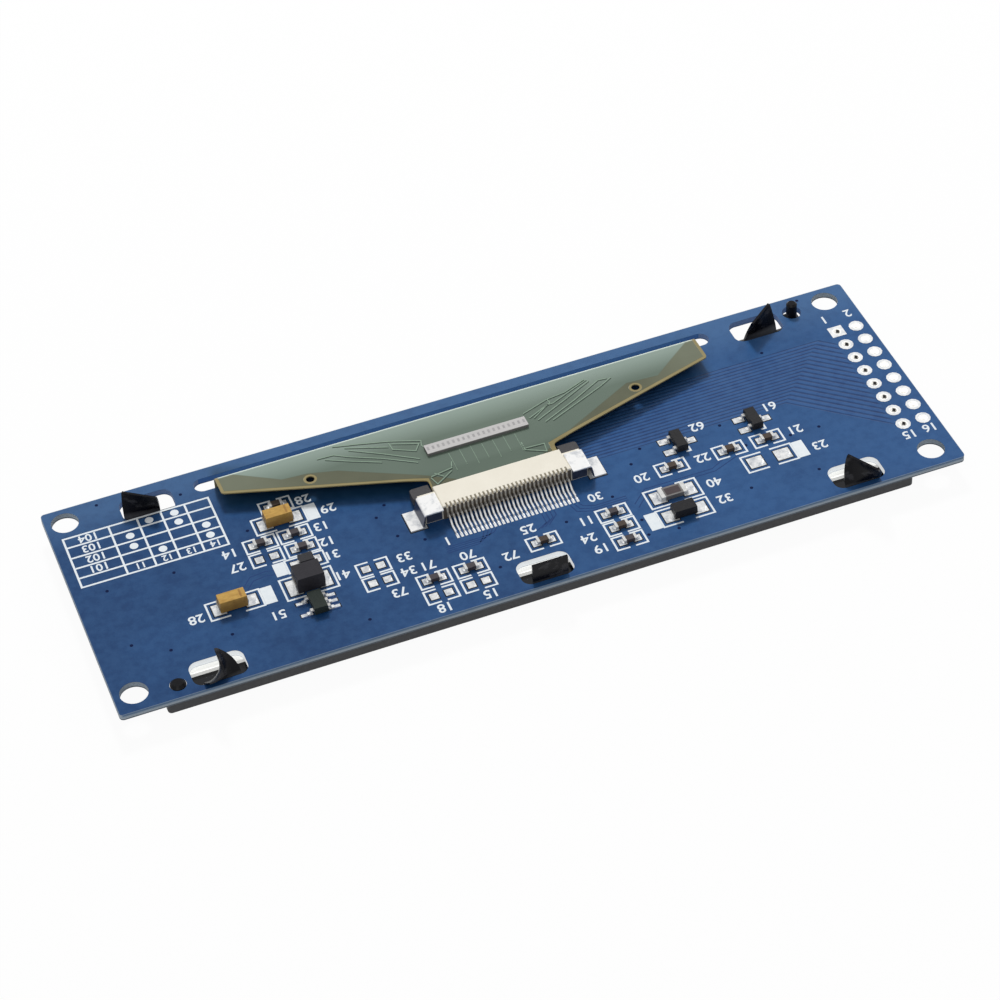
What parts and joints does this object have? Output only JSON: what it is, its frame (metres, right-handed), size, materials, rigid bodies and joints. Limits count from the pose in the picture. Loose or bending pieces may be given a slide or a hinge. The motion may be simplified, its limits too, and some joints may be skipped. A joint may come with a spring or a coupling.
{
  "type": "small display module",
  "caption": "Small oblong display module: circuit board over a black metal bezel with a glass panel, a folded ribbon, a ribbon connector, soldered parts and plated holes at one end.",
  "frame": {"origin": "on the viewing face (the bezel's front, which the module lies on), under the middle of the circuit board's outline", "axes": "+X along the board towards the end with the plated holes, +Y across the board towards the fold of the ribbon, +Z from the viewing face up to the component side"},
  "size_m": [0.1006, 0.0347, 0.006],
  "materials": {
    "board_green_blue": "glossy solder mask",
    "tinned": "tinned, soft shine",
    "black_sheet": "satin black paint",
    "black_pin": "satin black",
    "dark_film": "smooth, slightly matt film",
    "clear_glass": "polished",
    "white_foam": "matt foam tape",
    "ribbon_film": "glossy flexible film",
    "chip_grey": "ground grey silicon",
    "cream_housing": "satin moulded plastic",
    "slider_grey": "satin moulded plastic",
    "black_body": "matt moulded resin",
    "brown_ceramic": "matt fired ceramic",
    "orange_body": "satin moulded resin"
  },
  "bodies": {
    "module": {"circuit_board": "board_green_blue", "header_lands": "tinned", "bezel": "black_sheet", "locating_pin_near": "black_pin", "locating_pin_far": "black_pin", "polarising_film": "dark_film", "front_glass": "clear_glass", "back_glass": "clear_glass", "foam_tape": "white_foam", "ribbon": "ribbon_film", "driver_chip": "chip_grey", "connector_housing": "cream_housing", "connector_lands": "tinned", "connector_contacts": "tinned", "connector_hold_downs": "tinned", "resistor_bodies": "black_body", "resistor_ends": "tinned", "capacitor_bodies": "brown_ceramic", "capacitor_ends": "tinned", "large_resistor_body": "black_body", "large_resistor_ends": "tinned", "component_lands": "tinned", "tantalum_bodies": "orange_body", "tantalum_leads": "tinned", "inductor_body": "black_body", "inductor_leads": "tinned", "large_diode_body": "black_body", "large_diode_leads": "tinned", "small_diode_body": "black_body", "small_diode_leads": "tinned", "regulator_body": "black_body", "regulator_leads": "tinned", "transistor_bodies": "black_body", "transistor_leads": "tinned"},
    "latch": {"connector_slider": "slider_grey"}
  },
  "joints": [
    {"name": "latch_slide", "type": "slide", "parent": "module", "child": "latch", "axis": [0, 1, 0], "range_m": [0, 0.001]}
  ]
}
